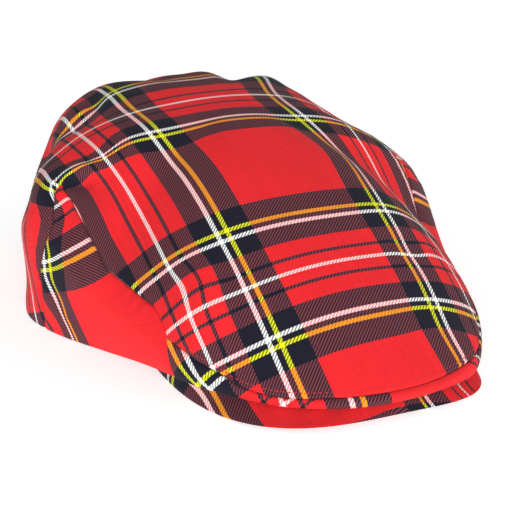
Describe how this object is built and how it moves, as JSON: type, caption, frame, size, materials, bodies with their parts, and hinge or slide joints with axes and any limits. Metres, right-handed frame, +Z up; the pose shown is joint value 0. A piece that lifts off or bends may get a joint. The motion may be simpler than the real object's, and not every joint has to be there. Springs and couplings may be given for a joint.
{
  "type": "flat cap",
  "caption": "Soft tartan flat cap: a one-piece rounded top over side gussets, bound at the front by a narrow strip above a short stiff peak, open underneath for a head.",
  "frame": {"origin": "on the surface that the cap rests on, half way between the tip of the peak and the back of the crown, on the middle line", "axes": "+Z up, -Y to the front where the peak is, +X to the wearer's left"},
  "size_m": [0.2055, 0.271, 0.0994],
  "materials": {
    "tartan_twill": "matte woven twill, red tartan"
  },
  "bodies": {
    "root": {"top_panel": "tartan_twill", "side_panel_right": "tartan_twill", "side_panel_left": "tartan_twill", "front_strip": "tartan_twill", "peak": "tartan_twill"}
  },
  "joints": []
}
